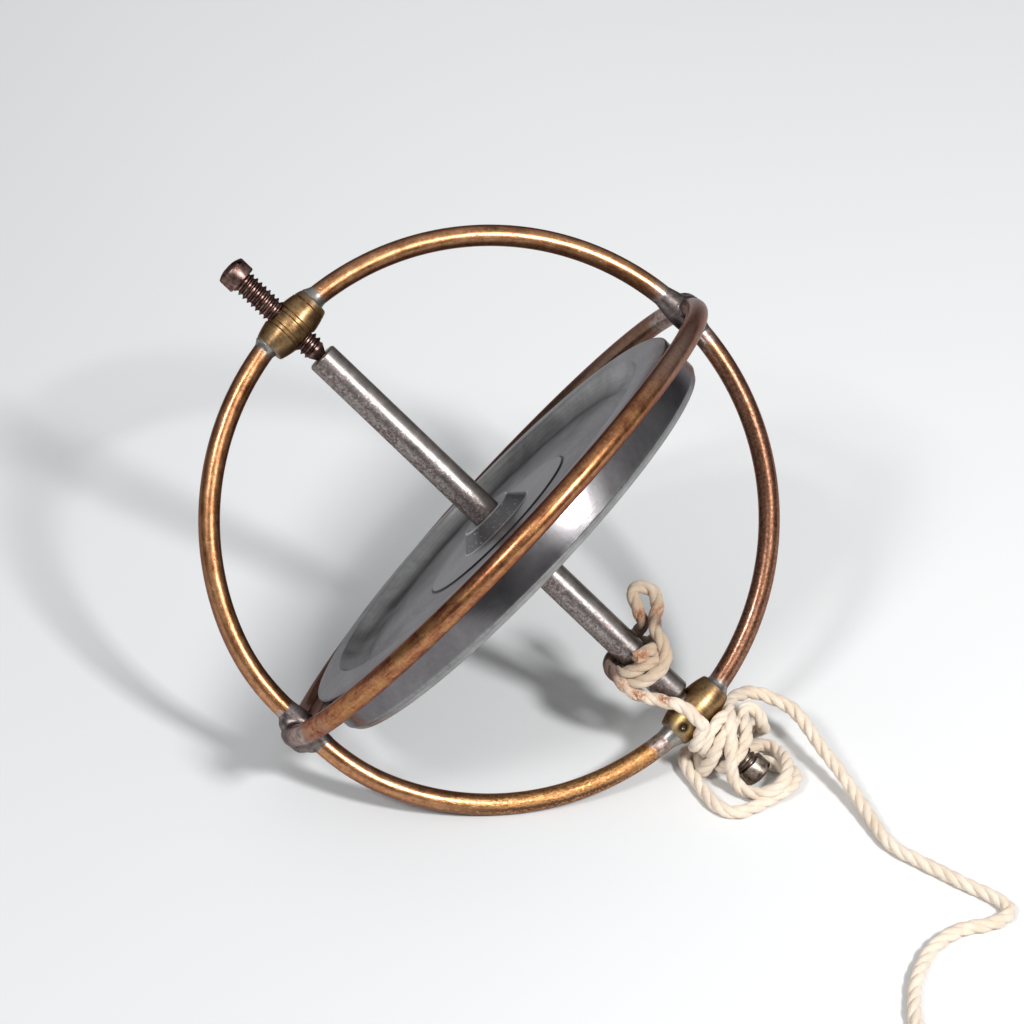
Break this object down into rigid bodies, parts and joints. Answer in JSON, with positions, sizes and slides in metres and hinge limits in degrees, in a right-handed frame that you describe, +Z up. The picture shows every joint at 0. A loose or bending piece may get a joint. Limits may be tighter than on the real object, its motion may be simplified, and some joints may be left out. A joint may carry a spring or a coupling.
{
  "type": "gyroscope",
  "caption": "Toy gyroscope: dished flywheel on an axle between cone pointed screws, in a cage of two crossed wire hoops, with a pull cord knotted round the axle.",
  "frame": {"origin": "on the table, under the centre of the cage as it lies at rest on both hoops and the lower screw's head", "axes": "+Z up; the axle's upper end points to -X, +Y and up, and the cord runs off towards +X and -Y"},
  "size_m": [0.1525, 0.1866, 0.0917],
  "materials": {
    "meridian_wire": "tarnished drawn wire",
    "equator_wire": "tarnished red-brown drawn wire",
    "boss_brass": "dull turned brass",
    "solder": "dull wiped solder",
    "screw_steel": "browned steel",
    "axle_steel": "bright ground steel with rust spots",
    "flywheel_steel": "turned steel, dull",
    "cotton_cord": "three strand cotton, undyed"
  },
  "bodies": {
    "cage": {"meridian_hoop_right": "meridian_wire", "meridian_hoop_left": "meridian_wire", "equator_hoop": "equator_wire", "upper_boss": "boss_brass", "lower_boss": "boss_brass", "upper_boss_solder_right": "solder", "upper_boss_solder_left": "solder", "lower_boss_solder_right": "solder", "lower_boss_solder_left": "solder", "crossing_solder_right": "solder", "crossing_solder_left": "solder", "cord_knot": "cotton_cord", "cord_bight": "cotton_cord", "cord_lead": "cotton_cord", "cord_wraps": "cotton_cord", "cord_loops": "cotton_cord", "cord_tail": "cotton_cord", "cord_coil": "cotton_cord", "cord_end_knot": "cotton_cord"},
    "rotor": {"axle": "axle_steel", "flywheel": "flywheel_steel"},
    "upper_screw": {"upper_pivot_screw": "screw_steel"},
    "lower_screw": {"lower_pivot_screw": "screw_steel"}
  },
  "joints": [
    {"name": "rotor_spin", "type": "hinge", "parent": "cage", "child": "rotor", "pos_m": [0, 0, 0.04578], "axis": [-0.7386, 0.2725, 0.6166], "continuous": true},
    {"name": "upper_screw_out", "type": "slide", "parent": "cage", "child": "upper_screw", "axis": [-0.7386, 0.2725, 0.6166], "range_m": [0, 0.0042]},
    {"name": "lower_screw_out", "type": "slide", "parent": "cage", "child": "lower_screw", "axis": [0.7386, -0.2725, -0.6166], "range_m": [0, 0.0042]}
  ]
}
